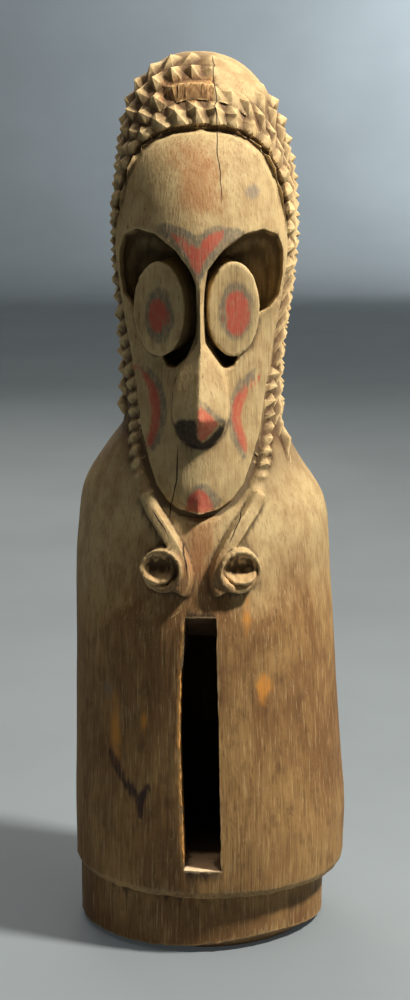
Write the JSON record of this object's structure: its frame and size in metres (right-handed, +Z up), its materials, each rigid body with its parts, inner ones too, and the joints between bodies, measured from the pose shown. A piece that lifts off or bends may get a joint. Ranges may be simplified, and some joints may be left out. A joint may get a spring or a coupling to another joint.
{
  "type": "slit drum",
  "caption": "Upright slit drum carved from one log, with a long painted face, disc eyes, rows of notched hair and two tusk ridges curling round hollow bosses",
  "frame": {"origin": "centre of the bounding box's underside, on the floor under the foot", "axes": "+Z up along the log; -Y to the front, where the face and the slit are; +X to the figure's left hand, the right of a viewer in front"},
  "size_m": [0.376, 0.3754, 1.187],
  "materials": {
    "wood": "weathered, bare, with rubbed red and blue-grey paint"
  },
  "bodies": {
    "root": {"slit_drum": "wood"}
  },
  "joints": []
}
